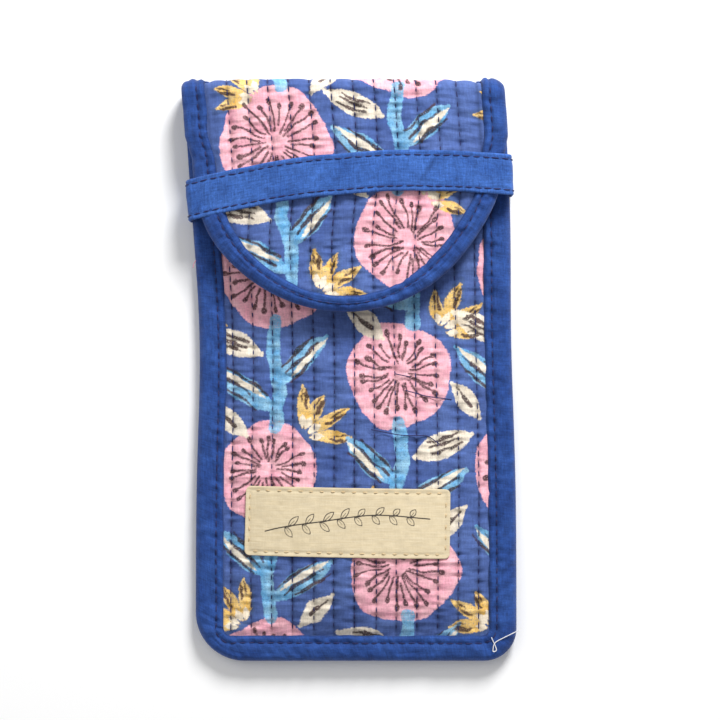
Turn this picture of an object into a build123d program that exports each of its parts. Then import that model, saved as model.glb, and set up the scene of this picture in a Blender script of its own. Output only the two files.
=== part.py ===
from build123d import *
import math
import os

# A soft quilted pouch for glasses, closed and lying on its back. Units are millimetres.
# The origin is the middle of its underside. +Z points out of its front, +Y runs
# towards the fold at its top end and +X is to the right of someone facing the front.
#
# One quilted panel makes the back, bends round the top end as the fold, and comes down
# over the front as the flap. A second quilted panel is the front of the pocket. Every
# panel is three layers: printed outer cloth, wadding and lining. Both are bound all
# round with plain cloth, and a plain strap across the front holds the flap down.

# Whole case
LENGTH = 180.0
BODY_WIDTH = 98.0
CORNER_LEFT = 15.0
CORNER_RIGHT = 10.0
BOTTOM_Y = -LENGTH / 2
FOLD_Y = LENGTH / 2
HALF_WIDTH = BODY_WIDTH / 2

# Cloth and wadding
CLOTH = 0.6
WADDING = 1.8
SEAM_WADDING = 1.0
PANEL = CLOTH + WADDING + CLOTH
BINDING = 0.8
SIDE_BINDING = 8.5
BOTTOM_BINDING = 8.0
THREAD_WIDTH = 0.4
THREAD_DEPTH = 0.3
QUILT_PITCH = 6.33
QUILT_CENTRE = -0.4
FRONT_QUILT_LINES = 13
BACK_QUILT_LINES = 12
QUILT_MARGIN = 0.8
TOPSTITCH_INSET = 2.4

# Rim, where the binding grips both panels: heights of the layers, from the table up
BACK_CLOTH_RIM = BINDING
BACK_WADDING_RIM = BACK_CLOTH_RIM + CLOTH
BACK_LINING = BACK_WADDING_RIM + SEAM_WADDING
PANEL_TOP = BACK_LINING + CLOTH
FRONT_RIM = [PANEL_TOP, PANEL_TOP + CLOTH, PANEL_TOP + CLOTH + SEAM_WADDING]
FRONT_RIM.append(FRONT_RIM[2] + CLOTH)
RIM_TOP = FRONT_RIM[3] + BINDING

# Window of quilted cloth inside the binding
WINDOW_HALF = HALF_WIDTH - SIDE_BINDING
WINDOW_BOTTOM = BOTTOM_Y + BOTTOM_BINDING

# Front panel: an arch across, closed by a rounded toe at the bottom, open at the mouth
POCKET_RISE = 5.4
TOE_LENGTH = 26.0
MOUTH_Y = 66.0
MOUTH_BINDING = 7.5
FRONT_CROWN = [PANEL_TOP + POCKET_RISE]
FRONT_CROWN += [FRONT_CROWN[0] + CLOTH, FRONT_CROWN[0] + CLOTH + WADDING]
FRONT_CROWN.append(FRONT_CROWN[2] + CLOTH)

# Flap: straight sides from the fold, then a round end
FLAP_UNDERSIDE = 13.0
FLAP_DROP = 4.6
FLAP_RADIUS = 47.4
FLAP_CENTRE_Y = 65.3
FLAP_KNEE_Y = 72.0
FLAP_BINDING = 7.4
FLAP_CLOTH_TOP = FLAP_UNDERSIDE + PANEL
FLAP_TOP = FLAP_CLOTH_TOP + BINDING
FLAP_ARCH_RADIUS = (HALF_WIDTH**2 + FLAP_DROP**2) / (2 * FLAP_DROP)

# Fold: a strip that stands at the top end and turns on its outer corners
HINGE_GAP = 0.2
ROOT_END_Y = FOLD_Y - PANEL - HINGE_GAP
FOLD_STRIP = FLAP_TOP
FOLD_CLEARANCE = 0.2

# Strap: a bowed band over the flap, down both sides and tucked into the back
STRAP_WIDTH = 12.5
STRAP_THICK = 0.7
STRAP_TAB_THICK = 0.4
STRAP_SIDE_GAP = 0.2
STRAP_CROWN = 16.75
STRAP_SHOULDER = 13.9
STRAP_TAB_END = 36.0
STRAP_LINE = [(-52.0, 52.2), (0.0, 61.9), (52.0, 60.0)]
STRAP_STITCH_INSET = 1.5
STRAP_INNER = HALF_WIDTH + STRAP_SIDE_GAP
STRAP_OUTER = STRAP_INNER + STRAP_THICK

# Label on the lower front
LABEL_WIDTH = 62.4
LABEL_HEIGHT = 21.4
LABEL_THICK = 0.5
LABEL_CENTRE = (-2.6, -46.8)
LABEL_TURN = -1.0
LABEL_CORNER = 2.0
LABEL_STITCH_INSET = 1.3

# Room for the cutting solids beyond the case
BEYOND = 10.0


def prism(plan, low, high):
    """A plan drawn on XY, standing from height low to height high."""
    return extrude(Pos(0, 0, low) * plan, high - low, dir=(0, 0, 1))


def plan_box(x_low, x_high, y_low, y_high):
    """A rectangle drawn on XY between the given edges."""
    middle = ((x_low + x_high) / 2, (y_low + y_high) / 2)
    return Pos(*middle) * Rectangle(x_high - x_low, y_high - y_low)


def case_plan(inset, y_top):
    """The outline of the case, with its two rounded bottom corners."""
    half = HALF_WIDTH - inset
    low = BOTTOM_Y + inset
    plan = plan_box(-half, half, low, y_top)
    for place, radius in ((0, CORNER_LEFT), (-1, CORNER_RIGHT)):
        corner = plan.vertices().group_by(Axis.Y)[0].sort_by(Axis.X)[place]
        plan = fillet(corner, radius - inset)
    return plan


def flap_plan(inset):
    """The outline of the flap: straight sides, a slight knee and a half-round end."""
    half = HALF_WIDTH - inset
    radius = FLAP_RADIUS - inset
    sides = Polyline(
        (-radius, FLAP_CENTRE_Y),
        (-half, FLAP_KNEE_Y),
        (-half, FOLD_Y),
        (half, FOLD_Y),
        (half, FLAP_KNEE_Y),
        (radius, FLAP_CENTRE_Y),
    )
    end = ThreePointArc(
        (radius, FLAP_CENTRE_Y), (0, FLAP_CENTRE_Y - radius), (-radius, FLAP_CENTRE_Y)
    )
    return make_face(sides + end)


def arch_block(half, rim, crown, y_low, y_high):
    """Everything under an arch that spans X and runs along Y."""
    legs = Polyline((half, rim), (half, 0), (-half, 0), (-half, rim))
    arc = ThreePointArc((-half, rim), (0, crown), (half, rim))
    section = make_face(legs + arc)
    return extrude(Pos(0, y_high, 0) * (Plane.XZ * section), y_high - y_low, dir=(0, -1, 0))


def toe_block(rim, crown, y_high):
    """Everything under a profile that rises from the bottom seam and then runs level."""
    rise = crown - rim
    radius = (TOE_LENGTH**2 + rise**2) / (2 * rise)
    half_turn = math.asin(TOE_LENGTH / radius) / 2
    level_y = WINDOW_BOTTOM + TOE_LENGTH
    midway = (
        level_y - radius * math.sin(half_turn),
        crown - radius * (1 - math.cos(half_turn)),
    )
    curve = ThreePointArc((WINDOW_BOTTOM, rim), midway, (level_y, crown))
    rest = Polyline(
        (level_y, crown),
        (y_high, crown),
        (y_high, 0),
        (WINDOW_BOTTOM, 0),
        (WINDOW_BOTTOM, rim),
    )
    return extrude(Plane.YZ * make_face(curve + rest), HALF_WIDTH, both=True)


def front_block(layer, raise_by=0.0):
    """The space under one surface of the front panel, from 0 (inside) to 3 (outside)."""
    rim = FRONT_RIM[layer]
    crown = FRONT_CROWN[layer]
    arch = arch_block(WINDOW_HALF, rim, crown, WINDOW_BOTTOM, MOUTH_Y)
    toe = toe_block(rim, crown, MOUTH_Y)
    return Pos(0, 0, raise_by) * (arch & toe)


def flap_block(crown):
    """The space under an arched surface of the flap with its middle at height crown."""
    half = HALF_WIDTH + BEYOND
    drop = FLAP_ARCH_RADIUS - math.sqrt(FLAP_ARCH_RADIUS**2 - half**2)
    return arch_block(half, crown - drop, crown, 0, FOLD_Y)


def quilting_slabs(lines, y_low, y_high):
    """Thin upright slabs, one along each of a number of quilting lines."""
    slabs = []
    for line in range(lines):
        x = QUILT_CENTRE + (line - (lines - 1) / 2) * QUILT_PITCH
        slab = plan_box(x - THREAD_WIDTH / 2, x + THREAD_WIDTH / 2, y_low, y_high)
        slabs.append(prism(slab, 0, FLAP_TOP + BEYOND))
    return Part() + slabs


def back_panel(pack, window, window_inner, quilting):
    """The layers of a flat stretch of panel, with their rim raised to take the binding."""
    cloth = prism(pack, BACK_CLOTH_RIM, BACK_WADDING_RIM)
    cloth += prism(window, 0, BACK_WADDING_RIM)
    cloth -= prism(window_inner, CLOTH, BACK_WADDING_RIM)
    wadding = prism(pack, BACK_WADDING_RIM, BACK_LINING)
    wadding += prism(window_inner, CLOTH, BACK_WADDING_RIM)
    lining = prism(pack, BACK_LINING, PANEL_TOP)
    threads = quilting & prism(window_inner, 0, THREAD_DEPTH)
    return {
        "outer_cloth": cloth - threads,
        "wadding": wadding,
        "lining": lining,
        "quilting_threads": threads,
    }


def back_pieces():
    """The back of the case, from the bottom corners up to the fold."""
    window = plan_box(-WINDOW_HALF, WINDOW_HALF, WINDOW_BOTTOM, ROOT_END_Y)
    inner = plan_box(
        CLOTH - WINDOW_HALF, WINDOW_HALF - CLOTH, WINDOW_BOTTOM + CLOTH, ROOT_END_Y
    )
    quilting = quilting_slabs(BACK_QUILT_LINES, WINDOW_BOTTOM + QUILT_MARGIN, ROOT_END_Y)
    layers = back_panel(case_plan(BINDING, ROOT_END_Y), window, inner, quilting)
    return {"back_" + name: solid for name, solid in layers.items()}


def front_pieces():
    """The front of the pocket: three nested arches with flat rims, and their quilting."""
    pack = case_plan(BINDING, MOUTH_Y)
    pack -= plan_box(-WINDOW_HALF, WINDOW_HALF, WINDOW_BOTTOM, MOUTH_Y + BEYOND)
    pieces = {}
    for layer, name in enumerate(("front_lining", "front_wadding", "front_outer_cloth")):
        ring = prism(pack, FRONT_RIM[layer], FRONT_RIM[layer + 1])
        pieces[name] = ring + (front_block(layer + 1) - front_block(layer))
    skin = front_block(3) - front_block(3, -THREAD_DEPTH)
    quilting = quilting_slabs(
        FRONT_QUILT_LINES, WINDOW_BOTTOM + QUILT_MARGIN, MOUTH_Y - QUILT_MARGIN
    )
    pieces["front_quilting_threads"] = skin & quilting
    pieces["front_outer_cloth"] -= pieces["front_quilting_threads"]
    return pieces


def body_binding_pieces(strap):
    """The binding round the sides and bottom, gripping both panels up to the mouth."""
    closed_y = MOUTH_Y + BINDING
    window = plan_box(-WINDOW_HALF, WINDOW_HALF, WINDOW_BOTTOM, FOLD_Y)
    binding = prism(case_plan(0, closed_y), 0, RIM_TOP)
    binding += prism(case_plan(0, ROOT_END_Y), 0, PANEL_TOP + BINDING)
    binding -= prism(case_plan(BINDING, ROOT_END_Y), BACK_CLOTH_RIM, PANEL_TOP)
    binding -= prism(case_plan(BINDING, MOUTH_Y), PANEL_TOP, FRONT_RIM[3])
    binding -= prism(window, 0, RIM_TOP)
    inner = TOPSTITCH_INSET - THREAD_WIDTH / 2
    outer = TOPSTITCH_INSET + THREAD_WIDTH / 2
    line = plan_box(
        -WINDOW_HALF - outer, WINDOW_HALF + outer, WINDOW_BOTTOM - outer, closed_y
    ) - plan_box(-WINDOW_HALF - inner, WINDOW_HALF + inner, WINDOW_BOTTOM - inner, closed_y)
    threads = prism(line, RIM_TOP - THREAD_DEPTH, RIM_TOP)
    threads += prism(line, 0, THREAD_DEPTH) - strap
    return {
        "body_binding": binding - threads - strap,
        "body_binding_threads": threads,
    }


def mouth_binding_pieces():
    """The binding over the open edge of the front panel."""
    low = MOUTH_Y - MOUTH_BINDING
    high = MOUTH_Y + BINDING
    outside = arch_block(WINDOW_HALF, RIM_TOP, FRONT_CROWN[3] + BINDING, low, high)
    inside = arch_block(WINDOW_HALF, PANEL_TOP, FRONT_CROWN[0] - BINDING, low, high)
    panel = arch_block(WINDOW_HALF, FRONT_RIM[3], FRONT_CROWN[3], low, MOUTH_Y)
    panel -= arch_block(WINDOW_HALF, FRONT_RIM[0], FRONT_CROWN[0], low, MOUTH_Y)
    stitch_y = low + TOPSTITCH_INSET
    line = plan_box(
        -WINDOW_HALF, WINDOW_HALF, stitch_y - THREAD_WIDTH / 2, stitch_y + THREAD_WIDTH / 2
    )
    threads = (outside - Pos(0, 0, -THREAD_DEPTH) * outside) & prism(line, 0, FLAP_TOP)
    return {
        "mouth_binding": outside - inside - panel - threads,
        "mouth_binding_threads": threads,
    }


def fold_pieces():
    """The strip round the top end, made flat beyond the fold line and stood up on it."""
    end_y = FOLD_Y + FOLD_STRIP
    pack_half = HALF_WIDTH - BINDING
    pack = plan_box(-pack_half, pack_half, FOLD_Y, end_y)
    window = plan_box(-WINDOW_HALF, WINDOW_HALF, FOLD_Y, end_y)
    inner = plan_box(CLOTH - WINDOW_HALF, WINDOW_HALF - CLOTH, FOLD_Y, end_y)
    quilting = quilting_slabs(BACK_QUILT_LINES, FOLD_Y, end_y)
    pieces = back_panel(pack, window, inner, quilting)
    binding = prism(plan_box(-HALF_WIDTH, HALF_WIDTH, FOLD_Y, end_y), 0, PANEL_TOP)
    binding -= prism(pack, BACK_CLOTH_RIM, PANEL_TOP) + prism(window, 0, PANEL_TOP)
    left_half = plan_box(-HALF_WIDTH, 0, FOLD_Y, end_y)
    pieces["binding_left"] = binding & prism(left_half, 0, PANEL_TOP)
    pieces["binding_right"] = binding - prism(left_half, 0, PANEL_TOP)
    stand_up = Pos(0, FOLD_Y, 0) * Rot(90, 0, 0) * Pos(0, -FOLD_Y, 0)
    below_flap = flap_block(FLAP_UNDERSIDE - BINDING - FOLD_CLEARANCE)
    return {"fold_" + name: (stand_up * solid) & below_flap for name, solid in pieces.items()}


def flap_pieces():
    """The flap, its arched layers, its quilting and the binding round its edge."""
    levels = [FLAP_UNDERSIDE, FLAP_UNDERSIDE + CLOTH, FLAP_UNDERSIDE + CLOTH + WADDING]
    levels.append(FLAP_CLOTH_TOP)
    pack = prism(flap_plan(BINDING), 0, FLAP_TOP)
    window = prism(flap_plan(FLAP_BINDING), 0, FLAP_TOP)
    pieces = {}
    for layer, name in enumerate(("flap_lining", "flap_wadding", "flap_outer_cloth")):
        pieces[name] = (flap_block(levels[layer + 1]) - flap_block(levels[layer])) & pack
    skin = flap_block(FLAP_CLOTH_TOP) - flap_block(FLAP_CLOTH_TOP - THREAD_DEPTH)
    quilting = quilting_slabs(BACK_QUILT_LINES, 0, FOLD_Y) & prism(
        flap_plan(FLAP_BINDING + QUILT_MARGIN), 0, FLAP_TOP
    )
    pieces["flap_quilting_threads"] = skin & quilting
    pieces["flap_outer_cloth"] -= pieces["flap_quilting_threads"]
    binding = flap_block(FLAP_TOP) - flap_block(FLAP_UNDERSIDE - BINDING)
    binding &= prism(flap_plan(0), 0, FLAP_TOP)
    binding -= (flap_block(FLAP_CLOTH_TOP) - flap_block(FLAP_UNDERSIDE)) & pack
    binding -= window
    stitch = FLAP_BINDING - TOPSTITCH_INSET
    line = prism(flap_plan(stitch - THREAD_WIDTH / 2), 0, FLAP_TOP)
    line -= prism(flap_plan(stitch + THREAD_WIDTH / 2), 0, FLAP_TOP)
    threads = (flap_block(FLAP_TOP) - flap_block(FLAP_TOP - THREAD_DEPTH)) & line
    pieces["flap_binding"] = binding - threads
    pieces["flap_binding_threads"] = threads
    return pieces


def strap_ribbon(low_offset, high_offset):
    """A bowed ribbon in plan, between two offsets from the strap's centre line."""
    low = [(x, y + low_offset) for x, y in STRAP_LINE]
    high = [(x, y + high_offset) for x, y in STRAP_LINE]
    edges = ThreePointArc(*low) + Line(low[2], high[2])
    edges += ThreePointArc(*reversed(high)) + Line(high[0], low[0])
    return prism(make_face(edges), 0, FLAP_TOP + BEYOND)


def strap_pieces():
    """The strap and the topstitching along its two long edges."""
    left = Polyline(
        (-STRAP_OUTER, STRAP_SHOULDER + STRAP_THICK),
        (-STRAP_OUTER, 0),
        (-STRAP_TAB_END, 0),
        (-STRAP_TAB_END, STRAP_TAB_THICK),
        (-STRAP_INNER, STRAP_TAB_THICK),
        (-STRAP_INNER, STRAP_SHOULDER),
    )
    right = Polyline(
        (STRAP_INNER, STRAP_SHOULDER),
        (STRAP_INNER, STRAP_TAB_THICK),
        (STRAP_TAB_END, STRAP_TAB_THICK),
        (STRAP_TAB_END, 0),
        (STRAP_OUTER, 0),
        (STRAP_OUTER, STRAP_SHOULDER + STRAP_THICK),
    )
    under = ThreePointArc(
        (-STRAP_INNER, STRAP_SHOULDER), (0, STRAP_CROWN), (STRAP_INNER, STRAP_SHOULDER)
    )
    over = ThreePointArc(
        (STRAP_OUTER, STRAP_SHOULDER + STRAP_THICK),
        (0, STRAP_CROWN + STRAP_THICK),
        (-STRAP_OUTER, STRAP_SHOULDER + STRAP_THICK),
    )
    section = make_face(left + under + right + over)
    band = extrude(Pos(0, FOLD_Y, 0) * (Plane.XZ * section), LENGTH, dir=(0, -1, 0))
    band &= strap_ribbon(-STRAP_WIDTH / 2, STRAP_WIDTH / 2)
    edge = STRAP_WIDTH / 2 - STRAP_STITCH_INSET
    lines = strap_ribbon(edge - THREAD_WIDTH / 2, edge + THREAD_WIDTH / 2)
    lines += strap_ribbon(-edge - THREAD_WIDTH / 2, -edge + THREAD_WIDTH / 2)
    top = arch_block(
        STRAP_OUTER,
        STRAP_SHOULDER + STRAP_THICK,
        STRAP_CROWN + STRAP_THICK,
        BOTTOM_Y,
        FOLD_Y,
    )
    threads = (top - Pos(0, 0, -THREAD_DEPTH) * top) & lines
    return {"strap_band": band - threads, "strap_threads": threads}


def label_pieces():
    """The sewn label and the line of stitches just inside its edge."""
    place = Pos(*LABEL_CENTRE) * Rot(0, 0, LABEL_TURN)
    plan = place * RectangleRounded(LABEL_WIDTH, LABEL_HEIGHT, LABEL_CORNER)
    sizes = [2 * (LABEL_STITCH_INSET + side * THREAD_WIDTH / 2) for side in (-1, 1)]
    line = Rectangle(LABEL_WIDTH - sizes[0], LABEL_HEIGHT - sizes[0])
    line -= Rectangle(LABEL_WIDTH - sizes[1], LABEL_HEIGHT - sizes[1])
    top = front_block(3, LABEL_THICK)
    patch = (top - front_block(3)) & prism(plan, 0, FLAP_TOP)
    skin = top - front_block(3, LABEL_THICK - THREAD_DEPTH)
    threads = skin & prism(place * line, 0, FLAP_TOP)
    return {"label_patch": patch - threads, "label_threads": threads}


def all_pieces():
    """Every piece of the case, by name."""
    strap = strap_pieces()
    pieces = back_pieces()
    pieces["back_outer_cloth"] -= strap["strap_band"]
    pieces.update(front_pieces())
    pieces.update(body_binding_pieces(strap["strap_band"]))
    pieces.update(mouth_binding_pieces())
    pieces.update(fold_pieces())
    pieces.update(flap_pieces())
    pieces.update(strap)
    pieces.update(label_pieces())
    return pieces


os.makedirs("parts", exist_ok=True)
for name, solid in all_pieces().items():
    export_step(solid, f"parts/{name}.step")
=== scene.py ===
import math

import bmesh
import bpy
import numpy as np
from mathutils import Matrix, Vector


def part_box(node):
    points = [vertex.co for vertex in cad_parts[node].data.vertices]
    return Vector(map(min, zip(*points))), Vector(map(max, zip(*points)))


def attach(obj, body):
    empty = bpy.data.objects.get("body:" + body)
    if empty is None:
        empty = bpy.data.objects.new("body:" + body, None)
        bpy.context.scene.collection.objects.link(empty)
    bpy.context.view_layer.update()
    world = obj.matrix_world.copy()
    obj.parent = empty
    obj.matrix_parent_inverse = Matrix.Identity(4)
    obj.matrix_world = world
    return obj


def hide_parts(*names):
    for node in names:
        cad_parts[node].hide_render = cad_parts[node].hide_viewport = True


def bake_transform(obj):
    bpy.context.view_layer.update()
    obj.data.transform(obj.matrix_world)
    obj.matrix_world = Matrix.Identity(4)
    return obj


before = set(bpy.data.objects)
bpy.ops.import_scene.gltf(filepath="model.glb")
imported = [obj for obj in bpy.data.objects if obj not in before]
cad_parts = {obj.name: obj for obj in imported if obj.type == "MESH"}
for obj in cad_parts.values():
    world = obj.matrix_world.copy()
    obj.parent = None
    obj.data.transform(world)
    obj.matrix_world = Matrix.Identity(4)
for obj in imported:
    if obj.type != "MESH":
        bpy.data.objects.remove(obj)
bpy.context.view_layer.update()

# Looks for a soft quilted glasses pouch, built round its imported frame. Lengths are in
# millimetres until a mesh is made. x and y are the frame's own; the flap, fold and back
# are one long panel, measured along s from the middle of the fold, positive to the flap.

MM = 0.001


def cad_box(*nodes):
    """The lowest and highest corner of some CAD nodes, in millimetres."""
    corners = [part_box(node) for node in nodes]
    low = np.min([np.array(c[0]) for c in corners], axis=0) / MM
    high = np.max([np.array(c[1]) for c in corners], axis=0) / MM
    return low, high


BODY_LOW, BODY_HIGH = cad_box("body_binding")
FLAP_LOW, FLAP_HIGH = cad_box("flap_binding")
MOUTH_LOW, MOUTH_HIGH = cad_box("mouth_binding")
LABEL_LOW, LABEL_HIGH = cad_box("label_patch")
BACK_THREAD_LOW, BACK_THREAD_HIGH = cad_box("back_quilting_threads")

# Outline
HALF = BODY_HIGH[0]
BOTTOM = BODY_LOW[1]
FOLD_Y = FLAP_HIGH[1]
WINDOW = MOUTH_HIGH[0]
BOTTOM_BINDING = 8.0
WINDOW_BOTTOM = BOTTOM + BOTTOM_BINDING
CORNER_LEFT = 15.0
CORNER_RIGHT = 10.0
WINDOW_CORNER = 2.6

# Heights
BINDING = 0.8
RIM_TOP = BODY_HIGH[2]
FRONT_RIM = RIM_TOP - BINDING
FRONT_CROWN = cad_box("front_outer_cloth")[1][2]
TOE = 26.0
BACK_TOP = 3.8
FLAP_CROWN = FLAP_HIGH[2] - BINDING
FLAP_DROP = (FLAP_HIGH[2] - FLAP_LOW[2]) / 2
FLAP_TIP = FLAP_LOW[1]
FLAP_RADIUS = 47.4
FLAP_CENTRE_Y = FLAP_TIP + FLAP_RADIUS
FLAP_KNEE_Y = 72.0
FLAP_BINDING = 7.4
FLAP_MIDDLE = 1.5
TIP_NARROWS = 0.36
TIP_LIFT = 1.2
TIP_REACH = 24.0
TIP_HOLLOW = 2.0
SWAY = 3.0
SWAY_REACH = 30.0
HELD_DOWN = 0.45
PADDING = 2.3

# Lean and waist
SIDE = 49.0
WIDE_SIDE = 49.7
WAIST_IN, WAIST_Y, WAIST_REACH = 1.4, 9.0, 35.0
LEAN, LEAN_START, LEAN_REACH = 4.3, -15.0, 105.0

# Fold
BEND = 4.0
BACK_LEVEL = 0.15

# Quilting
FRONT_LINES = 13
BACK_LINES = 12
THREAD = 0.4
QUILT_CENTRE = (BACK_THREAD_LOW[0] + BACK_THREAD_HIGH[0]) / 2
QUILT_PITCH = (BACK_THREAD_HIGH[0] - BACK_THREAD_LOW[0] - THREAD) / (BACK_LINES - 1)
QUILT_DEPTH = 1.25
INSIDE_RELIEF = 0.4
TOPSTITCH_INSET = 2.4
HELD_EDGE = 1.4
HELD_REACH = 2.2

# Pitch, length and thread radius of the stitches
QUILT_STITCH = (3.2, 2.85, 0.23)
TOPSTITCH = (3.0, 2.6, 0.2)
STRAP_STITCH = (3.0, 2.7, 0.2)
LABEL_STITCH = (3.3, 1.7, 0.17)

# Label
LABEL_CENTRE = (LABEL_LOW + LABEL_HIGH)[:2] / 2
LABEL_SIZE = (62.4, 21.4)
LABEL_TURN = math.radians(-1.0)
LABEL_THICK = 0.5


# ---------------------------------------------------------------- numbers and fields


def noise(x, y, scale_x, scale_y, seed):
    """Smooth noise from -1 to 1 over a plane, with its own grain along x and y."""
    table = np.random.default_rng(seed).uniform(-1, 1, (61, 61))
    u = np.asarray(x, float) / scale_x + 500.37
    v = np.asarray(y, float) / scale_y + 500.71
    i, j = np.floor(u).astype(int), np.floor(v).astype(int)
    f, g = u - i, v - j
    f, g = f * f * (3 - 2 * f), g * g * (3 - 2 * g)
    i0, i1, j0, j1 = i % 61, (i + 1) % 61, j % 61, (j + 1) % 61
    near = table[i0, j0] * (1 - f) + table[i1, j0] * f
    far = table[i0, j1] * (1 - f) + table[i1, j1] * f
    return near * (1 - g) + far * g


def smooth(t):
    """Rises smoothly from 0 to 1 as t does."""
    t = np.clip(t, 0, 1)
    return t * t * (3 - 2 * t)


def hump(distance, width):
    """1 at no distance, and falling away to both sides."""
    return np.exp(-((distance / width) ** 2))


def lengths_along(points):
    """How far along a line of points each of them lies."""
    gaps = np.linalg.norm(np.diff(points, axis=0), axis=1)
    return np.concatenate([[0], np.cumsum(gaps)])


def settle(points):
    """The pouch's slight lean and waist: where a point of the straight pouch really lies."""
    points = np.array(points, float)
    x, y = points[..., 0], points[..., 1]
    waist = WIDE_SIDE - WAIST_IN * hump(y - WAIST_Y, WAIST_REACH)
    lean = -LEAN * np.clip((np.minimum(y, FOLD_Y) - LEAN_START) / LEAN_REACH, 0, 1) ** 2
    points[..., 0] = x * waist / SIDE + lean
    points[..., 2] = np.maximum(points[..., 2], 0)
    return points


# ------------------------------------------------------------------------- surfaces


def quilt_x(phase, y, lines, seed):
    """Where a quilting line runs: whole phases are lines, and halves are midway."""
    straight = QUILT_CENTRE + (phase - (lines - 1) / 2) * QUILT_PITCH
    return straight + 0.35 * noise(straight, y, 9, 40, seed)


def quilting(phase, y, seed):
    """Height of quilted cloth against its crests: valleys, stitch dimples and ripples."""
    line = np.round(phase)
    across = np.abs(phase - line) * 2
    valley = 1 - np.sin(np.clip(across, 0, 1) * math.pi / 2) ** 0.62
    start = 5 * np.sin(line * 12.9 + seed)
    beat = np.cos(2 * math.pi * (y + start) / QUILT_STITCH[0])
    depth = QUILT_DEPTH * (0.86 - 0.16 * beat + 0.14 * noise(phase, y, 0.9, 11, seed + 1))
    ripple = noise(phase + 0.13 * y, y, 0.8, 1.1, seed + 2) * (0.5 - 0.3 * across)
    crease = noise(phase, y, 2.3, 2.6, seed + 3) * 0.26
    swell = noise(phase, y, 3.1, 19, seed + 4) * 0.28
    return -valley * depth + ripple + crease + swell - 0.15


def front_base(x, y):
    """The smooth crown of the pocket's front."""
    arch = 1 - np.clip(np.abs(x) / WINDOW, 0, 1) ** 2.1
    toe = np.clip((y - WINDOW_BOTTOM) / TOE, 0, 1)
    hollow = TIP_HOLLOW * arch * hump(y - FLAP_TIP - 2, 13)
    return FRONT_RIM + (FRONT_CROWN - FRONT_RIM) * arch * (1 - (1 - toe) ** 2) - hollow


def rim_fade(x, y):
    """0 where the binding holds the front flat and 1 a little way in from it."""
    side = smooth((WINDOW + 0.6 - np.abs(x)) / 2.5)
    return side * smooth((y - WINDOW_BOTTOM + 0.6) / 2.5)


def under_label(x, y):
    """1 where the label presses on the front, and 0 a little way off it."""
    gap_x = LABEL_SIZE[0] / 2 + 0.8 - np.abs(x - LABEL_CENTRE[0])
    gap_y = LABEL_SIZE[1] / 2 + 0.8 - np.abs(y - LABEL_CENTRE[1])
    return smooth(np.minimum(gap_x, gap_y) / 1.6)


def front_point(phase, y, depth=0.0):
    """A point of the front panel, at some depth under its outer cloth."""
    x = quilt_x(phase, y, FRONT_LINES, 3)
    fade = rim_fade(x, y)
    relief = quilting(phase, y, 11) * (0.25 + 0.75 * fade)
    relief = relief - under_label(x, y) * np.maximum(relief + 0.25, 0)
    pull = 1.0 if depth == 0 else -INSIDE_RELIEF
    held = HELD_DOWN * (1 - fade) if depth == 0 else 0.0
    z = front_base(x, y) + relief * pull - depth * (0.65 + 0.35 * fade) - held
    return np.stack([x, y + 0 * x, z], axis=-1)


def flap_height(x):
    """Height of the smooth outer side of the flap."""
    return FLAP_CROWN - FLAP_DROP * np.clip(np.abs(x) / HALF, 0, 1.05) ** 2


def tip_lift(y):
    """How far the free end of the flap stands up."""
    return TIP_LIFT * smooth((FLAP_TIP + TIP_REACH - y) / TIP_REACH)


def flap_sway(y):
    """The flap's round end lies a little to the left."""
    return -SWAY * smooth((FLAP_CENTRE_Y - y) / SWAY_REACH)


def fold_y(x):
    """How far out the fold reaches, which is less at its two corners."""
    return FOLD_Y - 0.4 - 1.5 * np.clip(np.abs(x) / HALF, 0, 1) ** 6


def fold_straight(x):
    """Half the length of the upright part of the fold."""
    return (flap_height(x) - BACK_LEVEL) / 2 - BEND


def long_panel(x, s, depth=0.0):
    """A point of the back, fold or flap, at some depth under its outer cloth."""
    middle = (flap_height(x) + BACK_LEVEL) / 2
    straight = fold_straight(x)
    way = np.abs(s)
    turn = np.clip((way - straight) / BEND, 0, math.pi / 2)
    run = np.maximum(way - straight - BEND * math.pi / 2, 0)
    side = np.where(s < 0, -1.0, 1.0)
    rise = np.minimum(way, straight)
    y = fold_y(x) - BEND * (1 - np.cos(turn)) - run - depth * np.cos(turn)
    z = middle + side * (rise + (BEND - depth) * np.sin(turn))
    z = z + np.where(s > 0, tip_lift(y), 0)
    return np.stack([x + np.where(s > 0, flap_sway(y), 0), y, z], axis=-1)


def s_at(x, y):
    """How far along the long panel a flat stretch has come when it reaches y."""
    return fold_straight(x) + BEND * math.pi / 2 + fold_y(x) - BEND - y


def flap_radius(inset, nearness):
    """The radius of the flap's round end, drawn in by an inset that narrows at the tip."""
    return FLAP_RADIUS - inset * (1 - TIP_NARROWS * nearness**4)


def flap_edge(x, inset):
    """The y of the flap's round end at x, drawn in by an inset."""
    nearness = np.sqrt(np.clip(1 - (x / FLAP_RADIUS) ** 2, 0, 1))
    radius = flap_radius(inset, nearness)
    return FLAP_CENTRE_Y - np.sqrt(np.maximum(radius**2 - np.minimum(np.abs(x), radius) ** 2, 0))


def under_flap_binding(x, s):
    """1 where the flap's binding holds the panel down, and 0 a little way in from it."""
    flat = long_panel(x, s)
    down = np.maximum(FLAP_CENTRE_Y - flat[..., 1], 0)
    far = np.hypot(x, down) + 1e-6
    inner = flap_radius(FLAP_BINDING, down / far)
    end = smooth((far - inner + HELD_EDGE) / HELD_REACH)
    side = smooth((np.abs(x) - HALF + FLAP_BINDING + HELD_EDGE) / HELD_REACH)
    return np.maximum(end, side) * (s > 0)


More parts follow.
